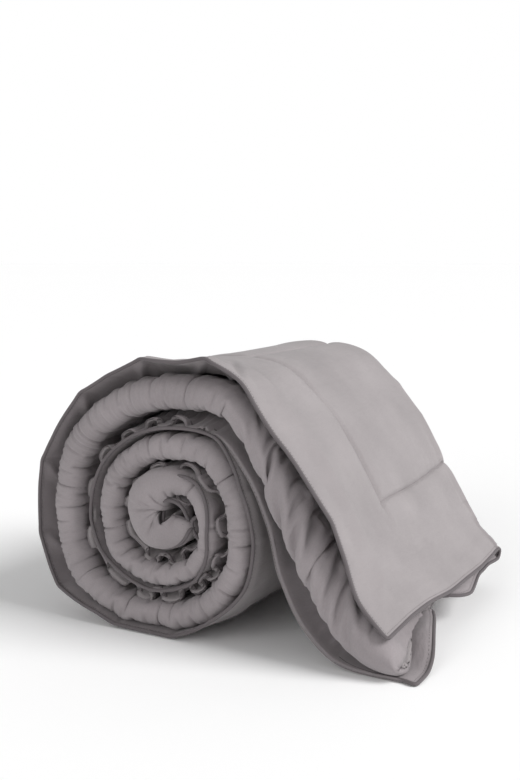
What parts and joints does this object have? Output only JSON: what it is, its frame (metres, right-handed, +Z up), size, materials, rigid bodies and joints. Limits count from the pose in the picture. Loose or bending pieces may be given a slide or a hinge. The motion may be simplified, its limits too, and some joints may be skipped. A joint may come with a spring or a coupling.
{
  "type": "rolled quilted duvet",
  "caption": "Quilted, piped double duvet folded lengthwise in four and rolled up, with its loose end resting on the floor and free to lift.",
  "frame": {"origin": "centre of the footprint box, on the surface the duvet rests on", "axes": "+X from the roll to the loose end, +Y from the front rim, where both piped edges show, to the back, +Z up; the roll's axis lies along Y"},
  "size_m": [0.6188, 0.4768, 0.4048],
  "materials": {
    "face_cloth": "brushed microfibre, warm mid grey, soft nap",
    "back_cloth": "brushed microfibre, warm mid grey, soft nap",
    "piping_cloth": "corded piping in a darker grey",
    "thread": "polyester sewing thread",
    "filling": "loose polyester fibre filling, off-white"
  },
  "bodies": {
    "roll": {"back_fabric_roll": "back_cloth", "back_fabric_tail": "back_cloth", "face_fabric_roll": "face_cloth", "face_fabric_tail": "face_cloth", "fill_border_core": "filling", "fill_border_inner_side": "filling", "fill_border_outer_side": "filling", "fill_pad_1_1": "filling", "fill_pad_1_2": "filling", "fill_pad_1_3": "filling", "fill_pad_1_4": "filling", "fill_pad_1_5": "filling", "fill_pad_2_1": "filling", "fill_pad_2_2": "filling", "fill_pad_2_3": "filling", "fill_pad_2_4": "filling", "fill_pad_2_5": "filling", "fill_pad_3_1": "filling", "fill_pad_3_2": "filling", "fill_pad_3_3": "filling", "fill_pad_3_4": "filling", "fill_pad_3_5": "filling", "fill_pad_4_1": "filling", "fill_pad_4_2": "filling", "fill_pad_4_3": "filling", "fill_pad_4_4": "filling", "fill_pad_4_5": "filling", "fill_pad_5_1": "filling", "fill_pad_5_2": "filling", "fill_pad_5_3": "filling", "fill_pad_5_4": "filling", "fill_pad_5_5": "filling", "fill_pad_6_1": "filling", "fill_pad_6_2": "filling", "fill_pad_6_3": "filling", "fill_pad_6_4": "filling", "fill_pad_6_5": "filling", "piping_roll": "piping_cloth", "stitching_frame": "thread", "stitching_grid": "thread"},
    "loose_end": {"back_fabric_flap": "back_cloth", "face_fabric_flap": "face_cloth", "fill_border_flap": "filling", "piping_flap": "piping_cloth"}
  },
  "joints": [
    {"name": "end_lift", "type": "hinge", "parent": "roll", "child": "loose_end", "pos_m": [0.17349, 0, 0.23502], "axis": [0, -1, 0], "range_deg": [0, 35]}
  ]
}
